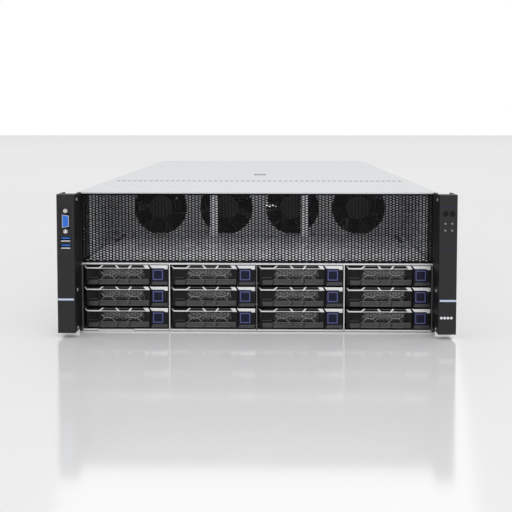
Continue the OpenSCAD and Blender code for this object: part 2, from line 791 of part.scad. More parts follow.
// Right ear with its two keys' bores and its status lamps
module right_ear() {
    placed() {
        color([0.13, 0.13, 0.14]) difference() {
            ear_body();
            for (x = key_x) translate([x, -ear_d + key_d + 0.6 + key_travel, key_z]) rotate([90, 0, 0])
                cylinder(r = key_r + clearance, h = key_d + 4);
            for (p = lamps()) translate([p[0], -ear_d + 4, p[1]]) rotate([90, 0, 0]) cylinder(r = lamp_r, h = 5);
        }
        color("cornflowerblue") ear_stripe();
        color("silver") ear_bracket();
        color("white") for (p = lamps())
            translate([p[0], -ear_d + 4, p[1]]) rotate([90, 0, 0]) cylinder(r = lamp_r, h = 3.8);
    }
}

// A round key in its bore, with a shallow ring on its face
module ear_key(x) {
    placed() color([0.2, 0.2, 0.22]) translate([x, -ear_d + key_d + 0.1, key_z]) rotate([90, 0, 0]) difference() {
        cylinder(r = key_r, h = key_d);
        translate([0, 0, key_d - 0.4]) difference() {
            cylinder(r = key_r - 0.8, h = 1);
            translate([0, 0, -1]) cylinder(r = key_r - 1.4, h = 3);
        }
    }
}

module power_button() {
    ear_key(key_x[0]);
}

module id_button() {
    ear_key(key_x[1]);
}

// Puts a drive piece in its bay: drawn from the carrier's lower left front corner
module in_bay(r, c) {
    placed() translate([column_x(c), bezel_y, row_z(r)]) children();
}

// Tray with its moulded front, the lever's hinge pin and the disk
module drive_carrier(r, c) {
    in_bay(r, c) {
        color([0.15, 0.15, 0.16]) {
            carrier_front();
            for (x = [0, carrier_w - tray_t]) difference() {
                block([x, bezel_d, 0], [x + tray_t, disk_y - bezel_y + disk_d, carrier_h - 6]);
                for (y = [40:34:130]) block([x - 1, y, 7], [x + tray_t + 1, y + 18, 13]);
            }
            block([0, bezel_d - 1, 0], [carrier_w, disk_y - bezel_y - 0.4, 2]);
        }
        color("silver") translate([hinge_x, hinge_y - bezel_y, 0.6]) cylinder(r = hinge_pin_r, h = carrier_h - 1.2);
        color("lightgray") disk();
    }
}

// Moulded front: the frame behind the lever, the hinge lugs and the block round the button
module carrier_front() {
    back_y = lever_t + 2;
    top_z = carrier_h;
    difference() {
        union() {
            upright(back_y, bezel_d - back_y) difference() {
                patch([0, 0], [carrier_w, top_z]);
                patch([4, 6], [80, top_z - 3]);
            }
            for (z = [0, top_z - lever_z + 0.3]) {
                translate([hinge_x, hinge_y - bezel_y, z]) cylinder(r = barrel_r - 0.2, h = lever_z - 0.3);
                block([0.4, hinge_y - bezel_y, z], [hinge_x + barrel_r - 0.2, back_y + 0.5, z + lever_z - 0.3]);
            }
            block([lever_reach + 0.8, 0, 0], [carrier_w, back_y + 0.1, top_z - trim_h]);
        }
        block([button_x - 0.35, -1, button_z - 0.35],
              [button_x + button_w + 0.35, button_d + button_travel + 4.5, button_z + button_w + 0.35]);
    }
    front_bar();
}

// Silver bar over the button, cut at a slant beside the lever
module front_bar() {
    z = carrier_h - trim_h;
    upright(0, lever_t + 2) polygon([[lever_reach + 3, z], [lever_reach + 0.6, carrier_h], [carrier_w, carrier_h],
        [carrier_w, z], [button_x + button_w + 1, z]]);
}

// A 3.5-inch disk with a stepped lid
module disk() {
    x = (carrier_w - disk_w) / 2;
    y = disk_y - bezel_y;
    z = (carrier_h - disk_h) / 2;
    difference() {
        block([x, y, z], [x + disk_w, y + disk_d, z + disk_h]);
        block([x + 30, y + disk_d - 6, z - 1], [x + 72, y + disk_d + 1, z + 5.4]);
    }
}

// Swinging lever: barrel, pierced plate with the lower bars, and the silver trim
module drive_lever(r, c) {
    top = carrier_h - 0.5;
    in_bay(r, c) {
        color([0.16, 0.16, 0.17]) difference() {
            union() {
                translate([hinge_x, hinge_y - bezel_y, lever_z]) cylinder(r = barrel_r, h = carrier_h - 2 * lever_z);
                upright(0, lever_t) difference() {
                    lever_outline(top);
                    patch([vent_x[0], vent_z[0]], [vent_x[1], vent_z[1]]);
                }
                upright(1.6, 1.6) pierced([vent_x[0] - 0.5, vent_z[0] - 0.5], [vent_x[1] + 0.5, vent_z[1] + 0.5], 0.5,
                    [cell * 0.86, cell], [cell - cell_web, cell - cell_web]);
                upright(0.6, 2) vent_ribs();
            }
            translate([hinge_x, hinge_y - bezel_y, 0]) cylinder(r = hinge_pin_r + clearance, h = carrier_h);
            block([4, -1, 9.9], [17.4, 1, 20.4]);
            for (x = lever_splits) upright(-1, 1.8) polygon([[x, 0], [x + 0.9, 0], [x + 3.4, 6.6], [x + 2.5, 6.6]]);
        }
        color("silver") upright(-trim_t, trim_t + 0.5) lever_trim(top);
    }
}

// Silver line over the lever: it drops to the lever's face, runs level and steps up between the splits
module lever_trim(top) {
    low = top - trim_h + trim_w;
    end = lever_reach - 2.2;
    for (p = [
        [hinge_x + barrel_r + 1, lever_splits[0] + 1.7, low, low],
        [lever_splits[0] + 1.7, lever_splits[0] + 5, low, top],
        [lever_splits[1] - 2, lever_splits[1] + 1.6, top, low],
        [lever_splits[2] - 1, lever_splits[2] + 2.7, low, top]
    ]) polygon([[p[0], p[2] - trim_w], [p[1], p[3] - trim_w], [p[1], p[3]], [p[0], p[2]]]);
    polygon([[end - 5.6, top], [end, top], [end + 2, low - trim_w], [end - 3.6, low - trim_w]]);
}

// Two bent ribs across the vent, mirrored about its middle
module vent_ribs() {
    middle = (vent_x[0] + vent_x[1]) / 2;
    w = 1.1;
    for (side = [0, 1]) translate([middle, 0]) mirror([side, 0]) polygon([
        [-25.6, vent_z[1]], [-21.6, 14.4], [-12.2, 14.4], [-6, vent_z[0]],
        [-6 + w, vent_z[0]], [-12.2 + w / 2, 14.4 + w], [-21.6 + w / 2, 14.4 + w], [-25.6 + w, vent_z[1]]
    ]);
}

// Outline of the lever's plate, with its slanted free end and room for the hinge lugs
module lever_outline(top) {
    polygon([
        [hinge_x, lever_z], [hinge_x + barrel_r + 1, lever_z], [hinge_x + barrel_r + 1, 0.5],
        [lever_reach, 0.5], [lever_reach, top - trim_h], [lever_reach - 2.4, top],
        [hinge_x + barrel_r + 1, top], [hinge_x + barrel_r + 1, carrier_h - lever_z],
        [hinge_x, carrier_h - lever_z]
    ]);
}

// Square release button with a raised ring on its face
module drive_button(r, c) {
    in_bay(r, c) color("midnightblue") {
        block([button_x, 0.4, button_z], [button_x + button_w, button_d, button_z + button_w]);
        upright(0, 0.4) difference() {
            patch([button_x + 0.8, button_z + 0.8], [button_x + button_w - 0.8, button_z + button_w - 0.8]);
            patch([button_x + 3, button_z + 3], [button_x + button_w - 3, button_z + button_w - 3]);
        }
    }
}

chassis_tub();
rear_panel();
front_top_panel();
top_cover();
cover_latch();
drive_cage();
drive_backplane();
intake_mesh();
fan_wall();
info_tag();
circuit_boards();
accelerator_cards();
left_ear();
right_ear();
power_button();
id_button();
for (i = [1:4]) fan_rotor(i);
for (i = [1:4]) power_supply(i);
for (r = [1:bay_rows], c = [1:bay_columns]) {
    drive_carrier(r, c);
    drive_lever(r, c);
    drive_button(r, c);
}
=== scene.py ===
"""Looks of a four-unit rack server for accelerator cards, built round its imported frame.

Everything is in metres in the frame's own axes: +X right as seen from the front, the front faces -Y, +Z up.
Carrier fronts are drawn once at the lowest left bay's corner and copied to the other bays.
"""

import logging
import math
from dataclasses import dataclass, field
from enum import Enum

import bpy
from mathutils import Matrix, Vector


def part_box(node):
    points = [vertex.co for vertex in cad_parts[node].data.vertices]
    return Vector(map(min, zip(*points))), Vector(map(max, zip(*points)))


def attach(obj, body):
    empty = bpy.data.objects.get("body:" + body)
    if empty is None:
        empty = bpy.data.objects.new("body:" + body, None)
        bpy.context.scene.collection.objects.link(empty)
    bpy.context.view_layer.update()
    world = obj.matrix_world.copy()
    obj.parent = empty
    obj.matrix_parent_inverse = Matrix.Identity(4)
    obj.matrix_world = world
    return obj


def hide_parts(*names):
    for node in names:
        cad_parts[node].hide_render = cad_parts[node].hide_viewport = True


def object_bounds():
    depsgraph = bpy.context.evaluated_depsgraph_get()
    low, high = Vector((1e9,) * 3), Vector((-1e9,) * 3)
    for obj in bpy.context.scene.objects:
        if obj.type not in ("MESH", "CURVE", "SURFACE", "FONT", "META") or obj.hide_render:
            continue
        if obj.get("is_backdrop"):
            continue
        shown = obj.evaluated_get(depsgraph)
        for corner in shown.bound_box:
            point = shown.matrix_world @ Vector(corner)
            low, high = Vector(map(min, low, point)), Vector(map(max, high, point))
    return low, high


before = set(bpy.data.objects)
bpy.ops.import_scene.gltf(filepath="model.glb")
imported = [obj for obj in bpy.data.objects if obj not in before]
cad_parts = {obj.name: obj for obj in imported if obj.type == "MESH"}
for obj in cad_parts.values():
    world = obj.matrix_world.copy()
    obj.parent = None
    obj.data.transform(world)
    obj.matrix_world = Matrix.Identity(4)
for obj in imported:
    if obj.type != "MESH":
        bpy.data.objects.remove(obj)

LOG = logging.getLogger("server")
MM = 0.001
ROWS = (1, 2, 3)
COLUMNS = (1, 2, 3, 4)

Point = tuple[float, float, float]
Colour = tuple[float, float, float]


def mm(x: float, y: float, z: float) -> Vector:
    """A point given in millimetres, as metres."""
    return Vector((x * MM, y * MM, z * MM))


# ---------------------------------------------------------------- finishes


class Grain(Enum):
    """How a surface's fine texture runs."""

    POWDER = (1.0, 1.0, 1.0)
    BRUSHED_X = (0.03, 1.0, 1.0)
    BRUSHED_Z = (1.0, 1.0, 0.03)


@dataclass(frozen=True)
class Finish:
    """One surface finish: its colour, how metallic and rough it is, and its fine texture."""

    name: str
    tint: Colour
    metal: float = 0.0
    rough: float = 0.5
    rough_spread: float = 0.08
    mottle: float = 0.06
    mottle_scale: float = 14.0
    grain: Grain = Grain.POWDER
    grain_scale: float = 1400.0
    relief: float = 0.08
    glow: float = 0.0
    gloss: float = 0.5

    def material(self) -> bpy.types.Material:
        """The finish as a material, made once.

        Returns:
            The material of this name.
        """
        made = bpy.data.materials.get(self.name)
        return made if made else Painter(self).build()


@dataclass(frozen=True)
class Zone:
    """A box of space, in metres, inside which a surface has another finish. A bound of None is open.

    With a disc, given as the X, the Z and the radius of its edge, only the part of the box inside it counts.
    """

    finish: Finish
    x: tuple[float | None, float | None] = (None, None)
    y: tuple[float | None, float | None] = (None, None)
    z: tuple[float | None, float | None] = (None, None)
    disc: tuple[float, float, float] | None = None


@dataclass
class Painter:
    """Builds the nodes of a finish, and of the zones laid over it."""

    base: Finish
    zones: tuple[Zone, ...] = ()
    name: str = ""
    tree: bpy.types.NodeTree | None = field(default=None, init=False)

    def node(self, kind: str, **values: object) -> bpy.types.Node:
        """Adds a node and sets its properties.

        Args:
            kind: the node's type.
            values: its properties by name.

        Returns:
            The node.
        """
        made = self.tree.nodes.new(kind)
        for key, value in values.items():
            setattr(made, key, value)
        return made

    def feed(self, socket: bpy.types.NodeSocket, value: object) -> None:
        """Links a socket's input to another socket, or sets its constant.

        Args:
            socket: the input.
            value: a socket to link or a constant to set.
        """
        if isinstance(value, bpy.types.NodeSocket):
            self.tree.links.new(value, socket)
        else:
            socket.default_value = value

    def math(self, operation: str, first: object, second: object = 0.0) -> bpy.types.NodeSocket:
        """One step of arithmetic on sockets or numbers.

        Args:
            operation: the step's name.
            first: left-hand value.
            second: right-hand value, where there is one.

        Returns:
            The result.
        """
        step = self.node("ShaderNodeMath", operation=operation)
        self.feed(step.inputs[0], first)
        self.feed(step.inputs[1], second)
        return step.outputs[0]

    def blend(self, factor: object, low: object, high: object, colour: bool) -> bpy.types.NodeSocket:
        """Mixes two colours or two numbers.

        Args:
            factor: share of the second value, from 0 to 1.
            low: value at factor 0.
            high: value at factor 1.
            colour: True for colours, False for numbers.

        Returns:
            The mixed value.
        """
        step = self.node("ShaderNodeMix", data_type="RGBA" if colour else "FLOAT")
        inputs = [s for s in step.inputs if s.enabled]
        for socket, value in zip(inputs, (factor, low, high)):
            self.feed(socket, value)
        return next(s for s in step.outputs if s.enabled)

    def within(self, place: bpy.types.Node, zone: Zone) -> bpy.types.NodeSocket:
        """1 inside a zone's box and 0 outside it.

        Args:
            place: node that splits a position in X, Y and Z.
            zone: the box.

        Returns:
            The mask.
        """
        mask: object = 1.0
        for axis, (low, high) in enumerate((zone.x, zone.y, zone.z)):
            if low is not None:
                mask = self.math("MULTIPLY", self.math("GREATER_THAN", place.outputs[axis], low), mask)
            if high is not None:
                mask = self.math("MULTIPLY", self.math("LESS_THAN", place.outputs[axis], high), mask)
        if zone.disc:
            x, z, radius = zone.disc
            squares = [self.math("POWER", self.math("SUBTRACT", place.outputs[axis], middle), 2.0)
                       for axis, middle in ((0, x), (2, z))]
            mask = self.math("MULTIPLY", self.math("LESS_THAN", self.math("ADD", *squares), radius * radius), mask)
        return mask

    def build(self) -> bpy.types.Material:
        """Makes the material.

        Returns:
            A node material whose colour, metal and roughness change from zone to zone.
        """
        paint = bpy.data.materials.new(self.name or self.base.name)
        paint.use_nodes = True
        self.tree = paint.node_tree
        shader = self.tree.nodes["Principled BSDF"]
        where = self.node("ShaderNodeTexCoord").outputs["Object"]
        cloud = self.node("ShaderNodeTexNoise")
        self.feed(cloud.inputs["Vector"], where)
        cloud.inputs["Scale"].default_value = self.base.mottle_scale
        cloud.inputs["Detail"].default_value = 5.0
        stretch = self.node("ShaderNodeMapping")
        self.feed(stretch.inputs["Vector"], where)
        stretch.inputs["Scale"].default_value = self.base.grain.value
        dust = self.node("ShaderNodeTexNoise")
        self.feed(dust.inputs["Vector"], stretch.outputs["Vector"])
        dust.inputs["Scale"].default_value = self.base.grain_scale
        dust.inputs["Detail"].default_value = 3.0
        place = self.node("ShaderNodeSeparateXYZ")
        self.feed(place.inputs[0], where)
        uneven = self.blend(0.5, cloud.outputs["Fac"], dust.outputs["Fac"], False)

        colour: object = (*self.base.tint, 1.0)
        metal: object = self.base.metal
        rough: object = self.base.rough
        for zone in self.zones:
            mask = self.within(place, zone)
            colour = self.blend(mask, colour, (*zone.finish.tint, 1.0), True)
            metal = self.blend(mask, metal, zone.finish.metal, False)
            rough = self.blend(mask, rough, zone.finish.rough, False)
        shade = self.blend(uneven, 1.0 - self.base.mottle, 1.0 + self.base.mottle, False)
        tinted = self.node("ShaderNodeVectorMath", operation="SCALE")
        self.feed(tinted.inputs[0], colour if isinstance(colour, bpy.types.NodeSocket) else colour[:3])
        self.feed(tinted.inputs["Scale"], shade)
        self.feed(shader.inputs["Base Color"], tinted.outputs[0])
        self.feed(shader.inputs["Metallic"], metal)
        spread = self.math("MULTIPLY", self.math("SUBTRACT", uneven, 0.5), 2.0 * self.base.rough_spread)
        self.feed(shader.inputs["Roughness"], self.math("ADD", spread, rough))
        if self.base.relief:
            bump = self.node("ShaderNodeBump")
            bump.inputs["Strength"].default_value = self.base.relief
            bump.inputs["Distance"].default_value = 0.0002
            self.feed(bump.inputs["Height"], dust.outputs["Fac"])
            self.feed(shader.inputs["Normal"], bump.outputs["Normal"])
        shader.inputs["Specular IOR Level"].default_value = self.base.gloss
        if self.base.glow:
            shader.inputs["Emission Color"].default_value = (*self.base.tint, 1.0)
            shader.inputs["Emission Strength"].default_value = self.base.glow
        return paint


LID_PAINT = Finish("pale_lid_paint", (0.74, 0.765, 0.78), 0.0, 0.45, mottle=0.015,
                   grain_scale=2600.0, relief=0.10, gloss=0.35)
ZINC = Finish("zinc_sheet", (0.62, 0.63, 0.64), 0.7, 0.38, mottle=0.10, mottle_scale=45.0, relief=0.05)
# A lighter, less metallic copy of the zinc: painted light, so the inside behind the intake reads bright.
LIT_INNER_ZINC = Finish("inner_zinc_painted_light", (0.72, 0.73, 0.74), 0.15, 0.55, mottle=0.05, mottle_scale=45.0, relief=0.05)
# A darker copy of the same zinc for the fan wall's upright plate: painted shade.
SHADED_WALL_ZINC = Finish("fan_wall_painted_shade", (0.40, 0.41, 0.42), 0.15, 0.5, mottle=0.05, relief=0.05)
BRIGHT = Finish("bright_sheet", (0.86, 0.87, 0.88), 0.35, 0.30, mottle=0.05, grain=Grain.BRUSHED_X, relief=0.06)
# Also used for the painted contact shadow along the foot of the tub's front lip.
EDGE_GREY_AND_CONTACT_SHADOW = Finish("dull_edge_and_painted_shadow", (0.16, 0.16, 0.165), 0.5, 0.45, relief=0.05)
MESH_BLACK = Finish("mesh_black", (0.0035, 0.0035, 0.004), 0.0, 0.50, relief=0.08, gloss=0.12)
EAR_BLACK = Finish("ear_black", (0.024, 0.024, 0.026), 0.0, 0.50, mottle=0.05,
                   grain_scale=3000.0, relief=0.20, gloss=0.30)
EAR_SIDE = Finish("ear_side_black", (0.006, 0.006, 0.0065), 0.0, 0.50, relief=0.10, gloss=0.15)
PLASTIC_BLACK = Finish("carrier_black", (0.006, 0.006, 0.007), 0.0, 0.42, grain_scale=3200.0, relief=0.10, gloss=0.22)
PLASTIC_GREY = Finish("carrier_grey", (0.058, 0.058, 0.060), 0.0, 0.36, grain_scale=3000.0, relief=0.08, gloss=0.4)
RIB_GREY = Finish("vent_rib_grey", (0.27, 0.27, 0.272), 0.0, 0.34, grain_scale=3000.0, relief=0.05, gloss=0.5)
CELL_GREY = Finish("vent_cell_grey", (0.022, 0.022, 0.023), 0.0, 0.40, relief=0.05, gloss=0.25)
RING_GREY = Finish("vent_ring_grey", (0.15, 0.15, 0.153), 0.0, 0.36, relief=0.04)
TRIM = Finish("silver_trim", (0.92, 0.93, 0.94), 0.15, 0.28, mottle=0.02, relief=0.03)
RAIL_GREY = Finish("silver_rail", (0.62, 0.63, 0.64), 0.2, 0.34, mottle=0.03, relief=0.03)
BUTTON_NAVY = Finish("button_navy", (0.004, 0.005, 0.026), 0.0, 0.38, grain_scale=3000.0, relief=0.06, gloss=0.25)
BUTTON_RING = Finish("button_ring", (0.10, 0.115, 0.30), 0.0, 0.32, relief=0.04)
STRIPE = Finish("ear_stripe", (0.70, 0.79, 0.95), 0.0, 0.25, relief=0.03)
STRIPE_EDGE = Finish("ear_stripe_edge", (0.008, 0.016, 0.10), 0.0, 0.3, relief=0.03)
PORT_BLUE = Finish("port_blue", (0.03, 0.19, 0.78), 0.0, 0.32, relief=0.04)
PORT_STEEL = Finish("port_steel", (0.88, 0.86, 0.85), 0.75, 0.24, relief=0.03)
BOARD = Finish("board_green", (0.012, 0.07, 0.035), 0.0, 0.38, mottle=0.35, mottle_scale=260.0, relief=0.25)
SHROUD = Finish("card_shroud", (0.05, 0.05, 0.055), 0.4, 0.35, relief=0.08)
FAN_BLACK = Finish("fan_black", (0.018, 0.018, 0.019), 0.0, 0.45, relief=0.10, gloss=0.3)
DISK_METAL = Finish("disk_metal", (0.60, 0.61, 0.62), 0.8, 0.34, mottle=0.08, relief=0.06)
# Also the colour of the painted shade marks along the lid's seam.
SEAM_GREY = Finish("seam_grey", (0.05, 0.052, 0.055), 0.0, 0.5, relief=0.05)
LATCH_GREY = Finish("latch_grey", (0.32, 0.33, 0.34), 0.0, 0.40, relief=0.10)
LAMP = Finish("lamp_white", (0.92, 0.93, 0.95), 0.0, 0.3, relief=0.0)
LAMP_DIM = Finish("lamp_dim", (0.30, 0.31, 0.32), 0.0, 0.35, relief=0.0)
CATCH_BLUE = Finish("catch_blue", (0.02, 0.08, 0.40), 0.0, 0.35, relief=0.06)


# ---------------------------------------------------------------- modelling steps


class Bench:
    """Modelling steps that the pieces share. Each leaves its piece active, in object mode."""

    @staticmethod
    def clear() -> None:
        """Deselects everything."""
        for thing in bpy.context.selected_objects:
            thing.select_set(False)

    @staticmethod
    def take(piece: bpy.types.Object) -> None:
        """Makes one piece the only selected and the active one."""
        Bench.clear()
        piece.select_set(True)
        bpy.context.view_layer.objects.active = piece

    @staticmethod
    def settle(name: str) -> bpy.types.Object:
        """Names the active piece and puts its place into its mesh.

        Args:
            name: the new name.

        Returns:
            The piece, at the origin.
        """
        piece = bpy.context.active_object
        piece.name = piece.data.name = name
        Bench.take(piece)
        bpy.ops.object.transform_apply(location=True, rotation=True, scale=True)
        return piece

    @staticmethod
    def box(name: str, low: Vector, high: Vector) -> bpy.types.Object:
        """A cuboid between two corners.

        Args:
            name: its name.
            low: its lowest corner.
            high: its highest corner.

        Returns:
            The cuboid, to be shaped further.
        """
        Bench.clear()
        bpy.ops.mesh.primitive_cube_add(size=1.0, location=(low + high) / 2)
        bpy.context.active_object.scale = high - low
        return Bench.settle(name)

    @staticmethod
    def rod(name: str, start: Vector, end: Vector, radius: float, sides: int = 24) -> bpy.types.Object:
        """A cylinder from one point to another.

        Args:
            name: its name.
            start: middle of one end.
            end: middle of the other end.
            radius: its radius.
            sides: flats round it.

        Returns:
            The cylinder, to be shaped further.
        """
        Bench.clear()
        along = end - start
        bpy.ops.mesh.primitive_cylinder_add(vertices=sides, radius=radius, depth=along.length,
                                            location=(start + end) / 2)
        rod = bpy.context.active_object
        rod.rotation_euler = along.to_track_quat("Z", "Y").to_euler()
        return Bench.settle(name)

    @staticmethod
    def apply(piece: bpy.types.Object, kind: str, **values: object) -> None:
        """Adds one modifier to a piece and applies it.

        Args:
            piece: the piece.
            kind: the modifier's type.
            values: its settings by name.
        """
        Bench.take(piece)
        step = piece.modifiers.new(kind.lower(), kind)
        for key, value in values.items():
            setattr(step, key, value)
        bpy.ops.object.modifier_apply(modifier=step.name)

    @staticmethod
    def round_edges(piece: bpy.types.Object, width: float, segments: int = 2) -> None:
        """Bevels the sharp edges and shades the flats smooth."""
        Bench.apply(piece, "BEVEL", width=width, segments=segments, limit_method="ANGLE", angle_limit=math.radians(35),
                    harden_normals=False, use_clamp_overlap=True)
        bpy.ops.object.shade_smooth_by_angle(angle=math.radians(35))

    @staticmethod
    def cut(piece: bpy.types.Object, cutter: bpy.types.Object) -> None:
        """Takes a cutter's shape out of a piece and deletes the cutter."""
        Bench.apply(piece, "BOOLEAN", operation="DIFFERENCE", object=cutter, solver="EXACT")
        bpy.data.objects.remove(cutter)

    @staticmethod
    def join(name: str, pieces: list[bpy.types.Object]) -> bpy.types.Object:
        """Joins pieces, each keeping its own finish.

        Args:
            name: the whole's name.
            pieces: what it is made of.

        Returns:
            The joined piece.
        """
        Bench.clear()
        for piece in pieces:
            piece.select_set(True)
        bpy.context.view_layer.objects.active = pieces[0]
        bpy.ops.object.join()
        return Bench.settle(name)

    @staticmethod
    def dress(piece: bpy.types.Object, finish: Finish) -> bpy.types.Object:
        """Gives a whole piece one finish."""
        piece.data.materials.clear()
        piece.data.materials.append(finish.material())
        return piece

    @staticmethod
    def outline(name: str, corners: list[tuple[float, float]], y: float, depth: float) -> bpy.types.Object:
        """An upright plate whose outline is drawn by extruding one corner from the last.

        Args:
            name: the plate's name.
            corners: outline in millimetres of X and Z, in order round the plate.
            y: front of the plate, in millimetres.
            depth: its thickness, in millimetres.

        Returns:
            The closed plate.
        """
        Bench.clear()
        bpy.ops.mesh.primitive_plane_add(size=1.0)
        piece = bpy.context.active_object
        bpy.ops.object.mode_set(mode="EDIT")
        bpy.ops.mesh.select_all(action="SELECT")
        bpy.ops.mesh.merge(type="CENTER")
        bpy.ops.transform.translate(value=mm(corners[0][0], y, corners[0][1]))
        for (x0, z0), (x1, z1) in zip(corners, corners[1:]):
            bpy.ops.mesh.extrude_vertices_move(TRANSFORM_OT_translate={"value": mm(x1 - x0, 0, z1 - z0)})
        bpy.ops.mesh.select_all(action="SELECT")
        bpy.ops.mesh.edge_face_add()
        bpy.ops.mesh.extrude_region_move(TRANSFORM_OT_translate={"value": mm(0, depth, 0)})
        bpy.ops.mesh.select_all(action="SELECT")
        bpy.ops.mesh.normals_make_consistent(inside=False)
        bpy.ops.object.mode_set(mode="OBJECT")
        return Bench.settle(name)

    @staticmethod
    def ribbon(corners: list[tuple[float, float]], width: float) -> list[tuple[float, float]]:
        """Outline of a bent strip of even height along a line of corners, in millimetres."""
        back = [(x, z - width) for x, z in reversed(corners)]
        return corners + back

    @staticmethod
    def honeycomb(name: str, corner: Vector, cell: tuple[float, float], hole: tuple[float, float],
                  count: tuple[int, int], thickness: float) -> bpy.types.Object:
        """An upright sheet of six-sided cells, each with a six-sided hole.

        Args:
            name: the sheet's name.
            corner: middle of the lowest left cell, on the sheet's front.
            cell: width and height of a cell, in metres.
            hole: width and height of its hole.
            count: columns and rows.
            thickness: the sheet's thickness.

        Returns:
            The sheet, with every odd column half a cell higher.
        """
        columns = []
        for odd in (0, 1):
            Bench.clear()
            bpy.ops.mesh.primitive_circle_add(vertices=6, radius=0.5, fill_type="NOTHING", rotation=(0, 0, math.pi / 6))
            ring = bpy.context.active_object
            bpy.ops.object.transform_apply(location=False, rotation=True, scale=False)
            ring.scale = (cell[0], cell[1] / math.cos(math.pi / 6), 1.0)
            bpy.ops.object.transform_apply(location=False, rotation=False, scale=True)
            bpy.ops.object.mode_set(mode="EDIT")
            bpy.ops.mesh.select_all(action="SELECT")
            bpy.ops.mesh.extrude_edges_move()
            bpy.ops.transform.resize(value=(hole[0] / cell[0], hole[1] / cell[1], 1.0), center_override=(0, 0, 0))
            bpy.ops.object.mode_set(mode="OBJECT")
            ring.rotation_euler = (math.pi / 2, 0, 0)
            ring.location = corner + Vector((odd * 0.75 * cell[0], 0, odd * cell[1] / 2))
            ring = Bench.settle(f"{name}_{odd}")
            across = (count[0] + 1 - odd) // 2
            for number, offset in ((across, (1.5 * cell[0], 0, 0)), (count[1], (0, 0, cell[1]))):
                Bench.apply(ring, "ARRAY", count=number, use_relative_offset=False, use_constant_offset=True,
                            constant_offset_displace=offset)
            columns.append(ring)
        sheet = Bench.join(name, columns)
        Bench.apply(sheet, "WELD", merge_threshold=0.00002)
        Bench.apply(sheet, "SOLIDIFY", thickness=thickness, offset=-1.0 if Bench.faces_back(sheet) else 1.0)
        Bench.take(sheet)
        bpy.ops.object.mode_set(mode="EDIT")
        bpy.ops.mesh.select_all(action="SELECT")
        bpy.ops.mesh.normals_make_consistent(inside=False)
        bpy.ops.object.mode_set(mode="OBJECT")
        return sheet

    @staticmethod
    def faces_back(sheet: bpy.types.Object) -> bool:
        """True if a sheet's faces look towards -Y, so that its thickness has to grow to +Y."""
        return sum(face.normal.y for face in sheet.data.polygons) < 0

    @staticmethod
    def copy(piece: bpy.types.Object, name: str, offset: Vector) -> bpy.types.Object:
        """A copy of a piece with its own mesh, moved by an offset.

        Args:
            piece: the pattern.
            name: the copy's name.
            offset: how far its mesh moves.

        Returns:
            The copy.
        """
        twin = piece.copy()
        twin.data = piece.data.copy()
        twin.name = twin.data.name = name
        twin.data.transform(Matrix.Translation(offset))
        bpy.context.collection.objects.link(twin)
        return twin


def fit(piece: bpy.types.Object, body: str, slot: str, *stands_for: str) -> bpy.types.Object:
    """Fastens a finished piece to its body and reports it.

    Args:
        piece: the finished piece.
        body: the body that it moves with.
        slot: the record's material slot; not used.
        stands_for: frame nodes that it replaces.

    Returns:
        The piece.
    """
    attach(piece, body)
    if stands_for:
        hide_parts(*stands_for)
    LOG.info("%s rides on %s", piece.name, body)
    return piece


def repaint(node: str, base: Finish, *zones: Zone) -> None:
    """Gives a frame node its finish, with zones of others over it.

    Args:
        node: the frame node's name.
        base: the main finish.
        zones: boxes with another finish.
    """
    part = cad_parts[node]
    paint = Painter(base, zones, f"{node}_finish").build() if zones else base.material()
    for place in part.material_slots:
        place.material = paint
    LOG.info("%s painted with %s", node, paint.name)


# ---------------------------------------------------------------- sub-assemblies


